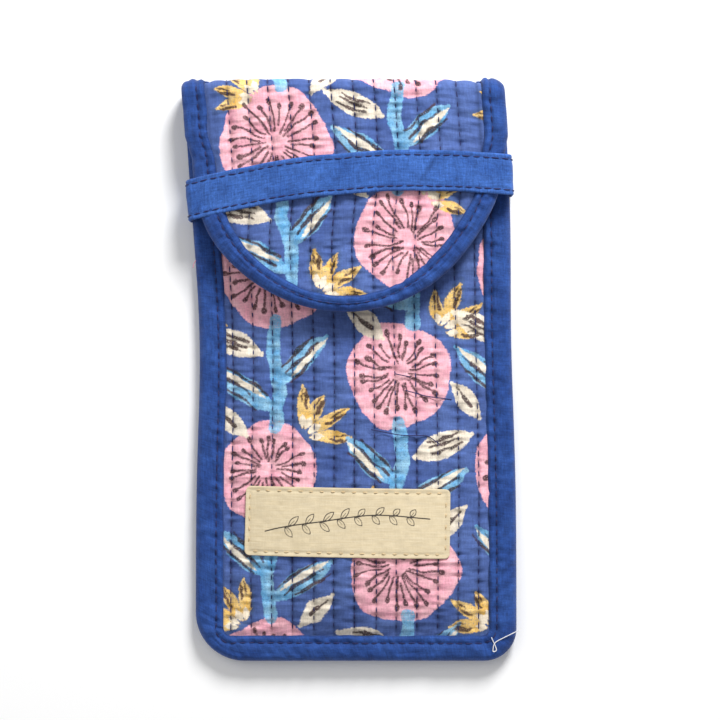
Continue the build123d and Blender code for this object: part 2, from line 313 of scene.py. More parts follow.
def panel_point(phase, s, depth=0.0, under=False):
    """A point of the long panel with its quilting, which the bend of the fold stretches."""
    x = quilt_x(phase, s, BACK_LINES, 7)
    relief = quilting(phase, s, 23) * (0.42 + 0.58 * smooth((np.abs(s) - 4) / 9))
    if under:
        relief = -INSIDE_RELIEF * relief
    relief = relief * (0.3 + 0.7 * smooth((HALF - 7.5 + 0.6 - np.abs(x)) / 2.5))
    if not under:
        held = under_flap_binding(x, s)
        relief = relief * (1 - 0.6 * held) - HELD_DOWN * held
    return long_panel(x, s, depth - relief)


# ---------------------------------------------------------------------------- meshes


def make_room(points):
    """Presses the underside up where the strap's ends are sewn on below it."""
    points = np.array(points, float)
    x, y, z = points[..., 0], points[..., 1], np.maximum(points[..., 2], 0)
    zone = smooth(np.abs(x) - STRAP_TAB + 0.9)
    zone = zone * smooth(STRAP_WIDTH / 2 + 1.2 - np.abs(y - strap_line(x)))
    points[..., 2] = z + STRAP_ROOM * zone * np.clip(1 - z / PRESSED_DEPTH, 0, 1)
    return points


def make_mesh(name, points, faces):
    """A closed mesh from points in millimetres, leaned as the pouch is."""
    if not name.startswith("strap"):
        points = make_room(points)
    mesh = bpy.data.meshes.new(name)
    mesh.from_pydata((settle(points) * MM).tolist(), [], faces)
    box = bmesh.new()
    box.from_mesh(mesh)
    bmesh.ops.recalc_face_normals(box, faces=box.faces)
    box.to_mesh(mesh)
    box.free()
    mesh.polygons.foreach_set("use_smooth", [True] * len(mesh.polygons))
    piece = bpy.data.objects.new(name, mesh)
    bpy.context.scene.collection.objects.link(piece)
    return piece


def add_vectors(piece, name, values):
    """Stores three numbers at every point, for the materials to read."""
    attribute = piece.data.attributes.new(name, "FLOAT_VECTOR", "POINT")
    attribute.data.foreach_set("vector", np.asarray(values, np.float32).ravel())


def quads(index):
    """The faces of a grid of point numbers."""
    corners = [index[:-1, :-1], index[:-1, 1:], index[1:, 1:], index[1:, :-1]]
    return np.stack(corners, axis=-1).reshape(-1, 4).tolist()


def with_coarse(values, step=4):
    """The values at a shell's points: its fine grid first, and then its coarse one."""
    return np.concatenate([values.reshape(-1, 3), values[::step, ::step].reshape(-1, 3)])


def shell(name, top, under, cloth, step=4):
    """A closed slab: a fine outer grid, and a coarser one under it joined round the rim."""
    rows, cols = top.shape[:2]
    fine = np.arange(rows * cols).reshape(rows, cols)
    low = under[::step, ::step]
    coarse = rows * cols + np.arange(low.shape[0] * low.shape[1]).reshape(low.shape[:2])
    faces = quads(fine) + quads(coarse[::-1])
    rims = [(fine[0], coarse[0]), (fine[-1], coarse[-1])]
    rims += [(fine[:, 0], coarse[:, 0]), (fine[:, -1], coarse[:, -1])]
    for rim, base in rims:
        for k in range(len(base) - 1):
            stretch = rim[k * step : (k + 1) * step + 1].tolist()
            faces.append(stretch + [int(base[k + 1]), int(base[k])])
    points = np.concatenate([top.reshape(-1, 3), low.reshape(-1, 3)])
    piece = make_mesh(name, points, faces)
    add_vectors(piece, "cloth", with_coarse(cloth, step))
    return piece


def grid_count(length, spacing, step=4):
    """How many points span a length, so that the coarse grid fits the fine one."""
    return step * max(1, round(length / spacing / step)) + 1


def tube_faces(count, around):
    """The faces of a closed tube of rings, with flat ends."""
    index = np.arange(count * around).reshape(count, around)
    index = np.concatenate([index, index[:, :1]], axis=1)
    return quads(index) + [index[0, :-1].tolist()[::-1], index[-1, :-1].tolist()]


def tube(name, rings, cloth=None):
    """A closed tube through rings of points."""
    piece = make_mesh(name, rings.reshape(-1, 3), tube_faces(*rings.shape[:2]))
    if cloth is not None:
        add_vectors(piece, "cloth", cloth.reshape(-1, 3))
    return piece


def unit(vectors):
    """The same directions at length 1."""
    return vectors / np.maximum(np.linalg.norm(vectors, axis=-1, keepdims=True), 1e-9)


def thread(name, points, radius, sides=7):
    """A round thread along a line of points."""
    points = np.array(points, float)
    along = unit(np.gradient(points, axis=0))
    side = unit(np.cross(along, [0.0, 0.0, 1.0]))
    up = np.cross(side, along)
    angle = np.arange(sides) * 2 * math.pi / sides
    girth = radius * np.ones(len(points))
    girth[[0, -1]] *= 0.4
    ring = side[:, None] * np.cos(angle)[:, None] + up[:, None] * np.sin(angle)[:, None]
    return tube(name, points[:, None] + ring * girth[:, None, None])


# A stitch is five rings of six points: how high each rides, and its share of the radius
SPINE_LIFT = np.array([-0.14, 0.12, 0.2, 0.12, -0.14])
SPINE_GIRTH = np.array([0.45, 0.92, 1.0, 0.92, 0.45])
RINGS, AROUND = len(SPINE_LIFT), 6


def stitches(name, rows, pitch, length, radius, seed):
    """Every stitch of some rows, as one mesh. A row is fine points and their up vectors."""
    random = np.random.default_rng(seed)
    spines, ups = [], []
    for points, up in rows:
        way = lengths_along(points)
        centres = np.arange(pitch * 0.6, way[-1] - length * 0.6, pitch)
        centres = centres + random.uniform(-0.16, 0.16, len(centres))
        lengths = length * random.uniform(0.86, 1.1, len(centres))
        places = centres[:, None] + lengths[:, None] * np.linspace(-0.5, 0.5, RINGS)
        spines.append(np.stack([np.interp(places, way, points[:, k]) for k in range(3)], -1))
        ups.append(np.stack([np.interp(places, way, up[:, k]) for k in range(3)], -1))
    spine, up = np.concatenate(spines), unit(np.concatenate(ups))
    along = unit(np.repeat((spine[:, -1] - spine[:, 0])[:, None], RINGS, axis=1))
    side = unit(np.cross(along, up))
    sway = random.uniform(-0.12, 0.12, (len(spine), 1, 1)) * np.linspace(-1, 1, RINGS)[:, None]
    spine = spine + side * sway + up * SPINE_LIFT[:, None]
    angle = np.arange(AROUND) * math.pi / 3
    ring = side[..., None, :] * np.cos(angle)[:, None] + up[..., None, :] * np.sin(angle)[:, None]
    points = spine[..., None, :] + ring * radius * SPINE_GIRTH[:, None, None]
    one = tube_faces(RINGS, AROUND)
    faces = [[RINGS * AROUND * k + i for i in face] for k in range(len(spine)) for face in one]
    return make_mesh(name, points.reshape(-1, 3), faces)


# ----------------------------------------------------------------------------- print
# A loose hand-printed flower design. One repeat of it is a spray, and the sprays stand in
# columns that step by half a repeat. Each mark is (colour, kind, numbers), and the
# distance to every mark is worked out at the points of a panel.

PINK, YELLOW, BLUE, CREAM, BROWN, SMOKE = range(6)
HEAD = 16.4
COLUMN = 40.0
REPEAT = 62.0
drawing = np.random.default_rng(41)


def blob(colour, x, y, half_x, half_y):
    return [(colour, "blob", (x, y, half_x, half_y))]


def lens(colour, x0, y0, x1, y1, width):
    return [(colour, "lens", (x0, y0, x1, y1, width))]


def line(colour, points, width):
    marks = []
    for (x0, y0), (x1, y1) in zip(points, points[1:]):
        marks.append((colour, "line", (x0, y0, x1, y1, width)))
    return marks


def between(start, end, share, offset=0.0):
    """A point part of the way along a line, and off to its left."""
    (x0, y0), (x1, y1) = start, end
    length = math.hypot(x1 - x0, y1 - y0)
    x = x0 + (x1 - x0) * share - (y1 - y0) / length * offset
    y = y0 + (y1 - y0) * share + (x1 - x0) / length * offset
    return x, y


def dabs(start, end, offsets, width):
    """Uneven dark brush lines that follow a petal or a leaf."""
    marks = []
    for offset in offsets:
        shares = np.sort(drawing.uniform(0.08, 0.95, 2))
        if shares[1] - shares[0] < 0.45:
            shares = np.array([0.2, 0.85])
        cuts = np.linspace(shares[0], shares[1], 6)
        points = [between(start, end, c, offset + drawing.uniform(-0.3, 0.3)) for c in cuts]
        for k in range(5):
            heavy = width * drawing.uniform(0.55, 1.15) * (0.75, 1.0, 1.05, 0.95, 0.6)[k]
            marks += line(BROWN, points[k : k + 2], heavy)
    return marks


def bloom(half_x, half_y, count=24):
    """A round pink head, with stamens all round its heart and a dot at the end of each."""
    marks = blob(PINK, 0, 0, half_x, half_y)
    heart = drawing.uniform(-1.5, 1.5, 2)
    for k in range(count):
        turn = 2 * math.pi * (k + drawing.uniform(-0.25, 0.25)) / count
        way = np.array([half_x * math.cos(turn), half_y * math.sin(turn)])
        begin = tuple(heart + way * drawing.uniform(0.14, 0.32))
        end = tuple(0.3 * heart + way * drawing.uniform(0.6, 0.82))
        middle = between(begin, end, 0.5, drawing.uniform(-0.7, 0.7))
        marks += line(BROWN, [begin, middle, end], 0.34)
        marks += line(BROWN, [end, between(begin, end, 1.08)], 0.72)
    return marks


def petal(x0, y0, x1, y1, width=4.0):
    """A yellow petal with a dark brush line and a pale foot."""
    start, end = (x0, y0), (x1, y1)
    marks = lens(SMOKE, *between(start, end, -0.1), *between(start, end, 1.08), width + 1.4)
    marks += lens(YELLOW, x0, y0, x1, y1, width)
    marks += lens(CREAM, *start, *between(start, end, 0.3), width * 0.55)
    marks += dabs(between(start, end, 0.3), end, [width * 0.22], 0.6)
    marks += dabs(between(start, end, 0.5), end, [-width * 0.1], 0.35)
    return marks


def tuft(x, y, lean, count, length):
    """Yellow petals that fan out from one point."""
    marks = []
    for k in range(count):
        turn = math.radians(lean + 31 * (k - (count - 1) / 2) + drawing.uniform(-4, 4))
        step = np.array([math.cos(turn), math.sin(turn)])
        reach = length * drawing.uniform(0.82, 1.08)
        marks += petal(*(step * 2.5 + (x, y)), *(step * reach + (x, y)))
    return marks


def leaf(x0, y0, x1, y1, width=6.0):
    """A light blue leaf, one side cream, with dark brush lines."""
    start, end = (x0, y0), (x1, y1)
    marks = lens(BLUE, x0, y0, x1, y1, width)
    side = between(start, end, 0.2, width * 0.2), between(start, end, 0.98, width * 0.08)
    marks += lens(CREAM, *side[0], *side[1], width * 0.3)
    marks += dabs(start, end, [-width * 0.38, -width * 0.06, width * 0.36], 0.6)
    return marks


def stem(points, width):
    return line(BLUE, points, width / 2)


def bud(x0, y0, x1, y1, width=6.0):
    """A cream bud with a dark drop in it."""
    start, end = (x0, y0), (x1, y1)
    marks = lens(CREAM, x0, y0, x1, y1, width)
    marks += line(BROWN, [between(start, end, 0.35), between(start, end, 0.6)], 0.75)
    marks += line(BROWN, [between(start, end, 0.6), between(start, end, 0.85)], 0.35)
    return marks


def spray():
    """One repeat, in its own place: a flower on its stem, with leaves, a bud and petals."""
    marks = stem([(0, -14), (1.5, -24), (-0.5, -34), (1, -46)], 4.0)
    marks += leaf(1, -41, 20, -28, 7.5) + leaf(0, -33, -15, -19, 7.0)
    marks += lens(CREAM, 5, -24, 22, -17, 7.5)
    marks += dabs((7, -23), (20, -18), [-1.6, 0.1, 1.7], 0.6)
    marks += bud(10, -49, 20, -39, 6.5) + tuft(-7, -49, 138, 4, 15)
    marks += bloom(HEAD * drawing.uniform(0.94, 1.06), HEAD * drawing.uniform(0.94, 1.06))
    return marks


def placed(marks, x, y, turn, size, flip):
    """Marks scaled, turned and moved to their place in the design."""
    along, up = size * math.cos(turn), size * math.sin(turn)

    def move(px, py):
        return x + flip * px * along - py * up, y + flip * px * up + py * along

    moved = []
    for colour, kind, numbers in marks:
        if kind == "blob":
            spot = (*move(*numbers[:2]), numbers[2] * size, numbers[3] * size)
        else:
            spot = (*move(*numbers[:2]), *move(*numbers[2:4]), numbers[4] * size)
        moved.append((colour, kind, spot))
    return moved


def flower_print(low, high, start):
    """The design between two heights of a cloth, round a spray that starts at a place."""
    marks = []
    for column in (-2, -1, 0, 1):
        x = start[0] + COLUMN * column
        first = start[1] + REPEAT / 2 * (column % 2)
        lowest = math.ceil((low - HEAD - first) / REPEAT)
        highest = math.floor((high + 50 - first) / REPEAT)
        for row in range(lowest, highest + 1):
            sway = drawing.uniform(-1.4, 1.4, 2)
            turn, size = drawing.uniform(-0.14, 0.14), drawing.uniform(0.96, 1.04)
            flip = (-1) ** (row + column)
            place = x + sway[0], first + REPEAT * row + sway[1]
            marks += placed(spray(), *place, turn, size, flip)
    return marks


def mark_distance(kind, numbers, x, y):
    """How far points lie outside a mark, less than zero inside it."""
    if kind == "blob":
        cx, cy, half_x, half_y = numbers
        p, q = (x - cx) / half_x, (y - cy) / half_y
        angle = np.arctan2(q, p)
        wobble = 1 + 0.035 * np.sin(3 * angle + cx) + 0.03 * np.sin(5 * angle + cy)
        return (np.hypot(p, q) - wobble) * min(half_x, half_y)
    x0, y0, x1, y1, width = numbers
    length = math.hypot(x1 - x0, y1 - y0)
    p = ((x - x0) * (x1 - x0) + (y - y0) * (y1 - y0)) / length**2
    share = np.clip(p, 0, 1)
    gap = np.hypot(x - x0 - share * (x1 - x0), y - y0 - share * (y1 - y0))
    if kind == "line":
        return gap - width
    return gap - width / 2 * np.sin(math.pi * np.clip(share, 0.03, 0.97)) ** 0.7


def inks(marks, x, y):
    """The distance to the nearest mark of each of the six colours."""
    far = 9.0
    fields = np.full((6, len(x)), far)
    for colour, kind, numbers in marks:
        if kind == "blob":
            span = [numbers[0] - numbers[2], numbers[0] + numbers[2]]
            rise = [numbers[1] - numbers[3], numbers[1] + numbers[3]]
            reach = 3.0
        else:
            span, rise = sorted(numbers[0:4:2]), sorted(numbers[1:4:2])
            reach = numbers[4] + 2
        near = (x > span[0] - reach) & (x < span[1] + reach)
        near &= (y > rise[0] - reach) & (y < rise[1] + reach)
        where = np.nonzero(near)[0]
        if len(where):
            found = mark_distance(kind, numbers, x[where], y[where])
            fields[colour, where] = np.minimum(fields[colour, where], found)
    return fields


# The cloth coordinate v is about y on the front and the flap, and runs on round the fold
# to the back.
FOLD_V = FOLD_Y + 6.2
FRONT_MARKS = flower_print(BOTTOM, FOLD_Y, (14, 0))
LONG_MARKS = flower_print(FLAP_TIP, 2 * FOLD_V - BOTTOM, (18, 40))


def add_print(piece, cloth, marks):
    """Prints a design on a panel, by its cloth coordinates x and v."""
    x, v = with_coarse(cloth)[:, :2].T
    drift_x = 0.5 * noise(x, v, 3.6, 4.2, 91) + 0.13 * noise(x, v, 1.3, 1.5, 92)
    drift_v = 0.5 * noise(x, v, 4.2, 3.6, 93) + 0.13 * noise(x, v, 1.5, 1.3, 94)
    x, v = x + drift_x, v + drift_v
    fields = inks(marks, x, v)
    add_vectors(piece, "ink_a", fields[:3].T)
    add_vectors(piece, "ink_b", fields[3:].T)


# ------------------------------------------------------------------------- materials


class Shader:
    """A small helper that adds and links nodes of one material."""

    def __init__(self, name):
        self.material = bpy.data.materials.new(name)
        self.material.use_nodes = True
        self.tree = self.material.node_tree
        self.surface = self.tree.nodes["Principled BSDF"]

    def add(self, kind, values=(), **settings):
        node = self.tree.nodes.new("ShaderNode" + kind)
        for key, value in settings.items():
            setattr(node, key, value)
        for key, value in dict(values).items():
            if isinstance(value, bpy.types.NodeSocket):
                self.tree.links.new(value, node.inputs[key])
            else:
                node.inputs[key].default_value = value
        return node

    def math(self, operation, a, b=0.0, clamp=False):
        node = self.add("Math", {0: a, 1: b}, operation=operation)
        node.use_clamp = clamp
        return node.outputs[0]

    def noise(self, place, scale, detail=3.0, roughness=0.6):
        values = {"Vector": place, "Scale": scale, "Detail": detail, "Roughness": roughness}
        return self.add("TexNoise", values).outputs["Fac"]

    def stretched(self, place, x, y, z=1.0):
        values = {0: place, 1: (x, y, z)}
        return self.add("VectorMath", values, operation="MULTIPLY").outputs[0]

    def spread(self, value, low, high, to_low=0.0, to_high=1.0):
        values = {"Value": value, 1: low, 2: high, 3: to_low, 4: to_high}
        return self.add("MapRange", values).outputs["Result"]

    def mix(self, share, a, b, blend="MIX"):
        node = self.add("Mix", data_type="RGBA", blend_type=blend)
        for socket, value in ((node.inputs[0], share), (node.inputs[6], a), (node.inputs[7], b)):
            if isinstance(value, bpy.types.NodeSocket):
                self.tree.links.new(value, socket)
            else:
                socket.default_value = value
        return node.outputs[2]

    def grey(self, value):
        return self.add("CombineColor", {0: value, 1: value, 2: value}).outputs[0]

    def attribute(self, name):
        return self.add("Attribute", attribute_name=name).outputs["Vector"]

    def parts(self, vector):
        return self.add("SeparateXYZ", {0: vector}).outputs

    def link(self, value, socket):
        self.tree.links.new(value, self.surface.inputs[socket])


def colour(red, green, blue):
    """A colour given as it looks, 0 to 255, for a shader's socket."""
    linear = [c / 12.92 if c <= 0.04045 else ((c + 0.055) / 1.055) ** 2.4
              for c in (red / 255, green / 255, blue / 255)]
    return (*linear, 1.0)


def weave(shader, place, slub, wear, pitch, depth):
    """Crossing threads: returns their uneven colour, and raises them a little."""
    weft = shader.noise(shader.stretched(place, 0.22, 1.9), 1.0, 3.0, 0.7)
    warp = shader.noise(shader.stretched(place, 1.9, 0.22), 1.0, 3.0, 0.7)
    both = shader.math("ADD", weft, warp)
    parts = shader.parts(place)
    turn = 2 * math.pi / pitch
    waves = [shader.math("SINE", shader.math("MULTIPLY", parts[k], turn)) for k in (0, 1)]
    cross = shader.math("MULTIPLY", waves[0], waves[1])
    threads = shader.math("ADD", shader.math("MULTIPLY", cross, 0.35), both)
    values = {"Strength": 0.7, "Distance": depth * MM, "Height": threads}
    bump = shader.add("Bump", values).outputs[0]
    shader.link(bump, "Normal")
    uneven = shader.spread(both, 0.72, 1.28, 1 - slub, 1 + slub)
    grain = shader.noise(place, 1.8, 2.0, 0.75)
    speckle = shader.spread(grain, 0.3, 0.7, 1 - slub / 2, 1 + slub / 2)
    uneven = shader.math("MULTIPLY", uneven, speckle)
    worn = shader.noise(place, 0.42, 4.0, 0.7)
    return shader.math("MULTIPLY", uneven, shader.spread(worn, 0.32, 0.68, 1 - wear, 1 + wear))


def cloth_finish(shader, place, tone, uneven, darkest_shade, roughness, sheen):
    """Colours a cloth by its tone and weave, darker where its cloth marks carry painted shade, and
    gives it its gloss.
    """
    # Painted shade: the third cloth number darkens the colour in quilting valleys, stitch grooves
    # and creases, where shade falls.
    crease = shader.spread(shader.parts(place)[2], 0.0, 1.0, 1.0, darkest_shade)
    tone = shader.mix(1.0, tone, shader.grey(shader.math("MULTIPLY", uneven, crease)), "MULTIPLY")
    shader.link(tone, "Base Color")
    shader.surface.inputs["Sheen Weight"].default_value = sheen
    shader.surface.inputs["Sheen Roughness"].default_value = 0.5
    shader.surface.inputs["Specular IOR Level"].default_value = 0.25
    value = shader.spread(shader.noise(place, 0.5), 0.3, 0.7, roughness - 0.06, roughness + 0.06)
    shader.link(value, "Roughness")
    return shader.material


def plain_cloth(name, deep, pale, slub=0.3, wear=0.17, depth=0.12):
    """Plain cotton, dyed a little unevenly, with slubs in its weave."""
    shader = Shader(name)
    place = shader.attribute("cloth")
    flat = shader.stretched(place, 1, 1, 0)
    mottle = shader.spread(shader.noise(flat, 0.09, 4.0), 0.3, 0.7)
    tone = shader.mix(mottle, colour(*deep), colour(*pale))
    uneven = weave(shader, flat, slub, wear, 0.5, depth)
    return cloth_finish(shader, place, tone, uneven, 0.62, 0.84, 0.12)


# Each ink in printing order, with how well it covers, and its deep and light tones
INK_TONES = [
    (SMOKE, 0.50, (84, 104, 128), (74, 98, 134)),
    (PINK, 0.96, (240, 168, 184), (250, 192, 200)),
    (YELLOW, 0.94, (236, 186, 84), (247, 212, 140)),
    (BLUE, 0.93, (96, 166, 214), (152, 200, 226)),
    (CREAM, 0.94, (232, 218, 196), (244, 233, 214)),
    (BROWN, 0.93, (34, 28, 34), (86, 58, 60)),
]


def print_cloth():
    """Block-printed cotton: ragged edges, uneven inks and a mottled ground."""
    shader = Shader("print_cloth")
    place = shader.attribute("cloth")
    flat = shader.stretched(place, 1, 1, 0)
    fields = [*shader.parts(shader.attribute("ink_a"))][:3]
    fields += [*shader.parts(shader.attribute("ink_b"))][:3]
    ground = shader.spread(shader.noise(flat, 0.05, 5.0), 0.35, 0.65)
    tone = shader.mix(ground, colour(62, 85, 146), colour(86, 110, 170))
    fringe = shader.spread(shader.noise(flat, 1.3, 4.0), 0.0, 1.0, -0.75, 0.75)
    pale = shader.spread(shader.noise(flat, 0.22, 4.0), 0.35, 0.65)
    bare = shader.spread(shader.noise(flat, 2.0, 4.0), 0.32, 0.46, 0.3, 1.0)
    for ink, cover, deep, light in INK_TONES:
        width = 1.2 if ink == SMOKE else 0.35
        frayed = shader.math("MULTIPLY", fringe, 0.5 if ink == BROWN else 0.9)
        ragged = shader.math("ADD", fields[ink], frayed)
        mask = shader.spread(ragged, width / 2, -width / 2, 0.0, cover)
        if ink in (BROWN, YELLOW, BLUE):
            mask = shader.math("MULTIPLY", mask, bare)
        tone = shader.mix(mask, tone, shader.mix(pale, colour(*deep), colour(*light)))
    uneven = weave(shader, flat, 0.19, 0.1, 0.45, 0.09)
    return cloth_finish(shader, place, tone, uneven, 0.58, 0.86, 0.1)


def thread_finish(name, deep, pale):
    """Twisted cotton thread."""
    shader = Shader(name)
    place = shader.add("TexCoord").outputs["Object"]
    twist = shader.spread(shader.noise(place, 2600.0, 2.0), 0.35, 0.65)
    shader.link(shader.mix(twist, colour(*deep), colour(*pale)), "Base Color")
    values = {"Strength": 0.6, "Distance": 0.05 * MM, "Height": twist}
    shader.link(shader.add("Bump", values).outputs[0], "Normal")
    shader.link(shader.spread(twist, 0, 1, 0.6, 0.78), "Roughness")
    shader.surface.inputs["Sheen Weight"].default_value = 0.05
    return shader.material


def label_cloth():
    """Cream cotton tape, faintly streaked across, with a printed sprig."""
    shader = Shader("label_cloth")
    place = shader.attribute("cloth")
    flat = shader.stretched(place, 1, 1, 0)
    streak = shader.spread(shader.noise(shader.stretched(flat, 0.12, 2.4), 1.0, 3.0), 0.3, 0.7)
    tone = shader.mix(streak, colour(214, 196, 160), colour(226, 211, 180))
    sprig = shader.parts(shader.attribute("ink_a"))[0]
    ragged = shader.math("ADD", sprig, shader.spread(shader.noise(flat, 3.0), 0, 1, -0.06, 0.06))
    mask = shader.spread(ragged, 0.06, -0.06, 0.0, 0.95)
    tone = shader.mix(mask, tone, colour(34, 30, 34))
    uneven = weave(shader, flat, 0.05, 0.03, 0.42, 0.06)
    return cloth_finish(shader, place, tone, uneven, 0.8, 0.82, 0.1)


MATERIALS = {
    "print_cloth": print_cloth(),
    "binding_cloth": plain_cloth("binding_cloth", (25, 57, 122), (44, 81, 152)),
    "strap_cloth": plain_cloth("strap_cloth", (40, 78, 148), (62, 106, 184), 0.38, 0.12, 0.15),
    "lining_cloth": plain_cloth("lining_cloth", (40, 78, 148), (58, 98, 168)),
    "label_cloth": label_cloth(),
    "quilting_thread": thread_finish("quilting_thread", (14, 18, 64), (28, 34, 100)),
    "label_thread": thread_finish("label_thread", (196, 168, 124), (226, 204, 164)),
    "loose_thread": thread_finish("loose_thread", (206, 208, 214), (240, 240, 242)),
    "pink_fibre": thread_finish("pink_fibre", (222, 130, 150), (240, 170, 180)),
}

# Where the long panel turns from one body to the next, as the start and end of a blend
LOWER_TURN = ("root", "fold", (0, FOLD_Y - 6.5, -0.5), (0, FOLD_Y - 1.5, 4.0))
UPPER_TURN = ("fold", "flap", (0, FOLD_Y - 0.5, 10.5), (0, FOLD_Y - 5.5, 15.0))


def fit(piece, finish, nodes=(), body=None, turn=None, slot=None):
    """Gives a piece its material, attaches it to a body or fixes its transform, and hides the CAD
    nodes it stands for.
    """
    piece.data.materials.append(MATERIALS[finish])
    if body:
        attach(piece, body)
    else:
        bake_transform(piece)
    if nodes:
        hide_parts(*nodes)


def sew(name, rows, nodes, seed, size=TOPSTITCH, finish="quilting_thread", **place):
    """Sews rows of stitches as one piece."""
    fit(stitches(name, rows, *size, seed), finish, nodes, **place)


# ------------------------------------------------------------------------ the panels

FLAP_PANEL_SIDE = 44.5
FLAP_PANEL_INSET = 3.2
LINING_GAP = 0.08
LINING_DEPTH = 0.6
UPRIGHT = np.array([[0.0, 0.0, 1.0]])
PANEL_SIDE = 42.8
PANEL_BOTTOM = BOTTOM + 6.2
SPACING = 0.4
BACK_SPACING = 0.43
SAMPLE = 0.25
FOLD_TURN = 12.0
LINING_SEEN = 84.0


def phases(lines, half, spacing):
    """Evenly spaced phases that cover a panel's width."""
    middle = (lines - 1) / 2
    low = middle + (-half - QUILT_CENTRE) / QUILT_PITCH
    high = middle + (half - QUILT_CENTRE) / QUILT_PITCH
    return np.linspace(low, high, grid_count(2 * half, spacing))


def shade_of(phase):
    """How deep in a quilting valley a point is, stored as painted shade that darkens it a little.
    """
    across = np.abs(phase - np.round(phase)) * 2
    return np.exp(-((across / 0.17) ** 2)) * 0.85


def padded_panel(name, surface, cloth, marks, nodes, lining_nodes, flat, **place):
    """A padded outer cloth with the lining behind it, at some depths under a surface."""
    panel = shell(name + "_panel", surface(0), surface(PADDING), cloth)
    add_print(panel, cloth, marks)
    fit(panel, "print_cloth", nodes, **place)
    coarse = (slice(None, None, 2), slice(None, None, 2))
    face, back = surface(PADDING + LINING_GAP)[coarse], surface(PADDING + LINING_DEPTH)[coarse]
    lining = shell(name + "_lining_cloth", face, back, cloth[coarse] * (1, 1, 0), 2)
    fit(lining, "lining_cloth", lining_nodes, **place)


def front_pieces():
    """The pocket's front: its padded outer cloth, lining and quilting."""
    top_y = MOUTH_HIGH[1] - BINDING - 0.3
    y = np.linspace(PANEL_BOTTOM, top_y, grid_count(top_y - PANEL_BOTTOM, SPACING))
    p, q = np.meshgrid(phases(FRONT_LINES, PANEL_SIDE, SPACING), y)

    def surface(depth):
        return front_point(p, q, depth)

    cloth = np.stack([surface(0)[..., 0], q, shade_of(p)], -1)
    flat = {"flat": (2 * PANEL_SIDE * MM, (top_y - PANEL_BOTTOM) * MM)}
    nodes = ("front_outer_cloth", "front_wadding")
    padded_panel("front", surface, cloth, FRONT_MARKS, nodes, ("front_lining",), flat, body="root")
    rows = []
    for k in range(FRONT_LINES):
        start = WINDOW_BOTTOM + 0.6 + 1.2 * math.sin(k * 2.3) ** 2
        fine = np.arange(start, top_y - 1, SAMPLE)
        rows.append((front_point(np.full_like(fine, k), fine), np.tile(UPRIGHT, (len(fine), 1))))
    sew("front_quilting", rows, ("front_quilting_threads",), 5, QUILT_STITCH, body="root")


def long_pieces(name, nodes, turn, lining_nodes, thread_nodes):
    """One half of the long panel: its padded outer cloth, lining and quilting."""
    flap = name == "flap"
    half, spacing = (FLAP_PANEL_SIDE, SPACING) if flap else (PANEL_SIDE, BACK_SPACING)
    bottom = -s_at(0.0, PANEL_BOTTOM)
    reach = s_at(0.0, float(flap_edge(0.0, FLAP_PANEL_INSET))) if flap else bottom
    share = np.linspace(0, 1, grid_count(abs(reach), spacing))
    p, t = np.meshgrid(phases(BACK_LINES, half, spacing), share)
    flat_x = quilt_x(p, 0 * p, BACK_LINES, 7)
    end = s_at(flat_x, flap_edge(flat_x, FLAP_PANEL_INSET)) if flap else bottom + 0 * p
    s = t * end

    def surface(depth):
        return panel_point(p, s, depth, depth > 0)

    cloth = np.stack([surface(0)[..., 0], FOLD_V - s, shade_of(p)], -1)
    size = (2 * half * MM, float(np.abs(end).max()) * MM)
    area = float(np.abs(end[0]).mean()) * 2 * half * MM * MM
    flat = {"flat": size, "area": area}
    padded_panel(name, surface, cloth, LONG_MARKS, nodes, lining_nodes, flat, turn=turn)
    rows = []
    for k in range(BACK_LINES):
        x = float(quilt_x(float(k), 0.0, BACK_LINES, 7))
        stop = s_at(x, float(flap_edge(x, FLAP_BINDING + 0.6))) if flap else bottom + 4
        fine = np.arange(0.4, abs(float(stop)), SAMPLE) * math.copysign(1, float(stop))
        line_phase = np.full_like(fine, k)
        points = panel_point(line_phase, fine)
        away = unit(points - panel_point(line_phase, fine, 1.0))
        rows.append((points, away))
        seen = (np.abs(fine) > FOLD_TURN) & (np.abs(fine) < LINING_SEEN)
        inside = panel_point(line_phase, fine, PADDING + 0.62, True)
        rows.append((inside[seen], -away[seen]))
    sew(name + "_quilting", rows, thread_nodes, 6, QUILT_STITCH, turn=turn)


# ---------------------------------------------------------------------- the bindings

ROLL = 2.6
SKIN = 0.5
FLAP_HALF = 2.25
MOUTH_HALF = 2.0
UNDER_CALM = 0.25
UNDER_FLAP_BINDING = 0.22
UNDER_MARK = 20


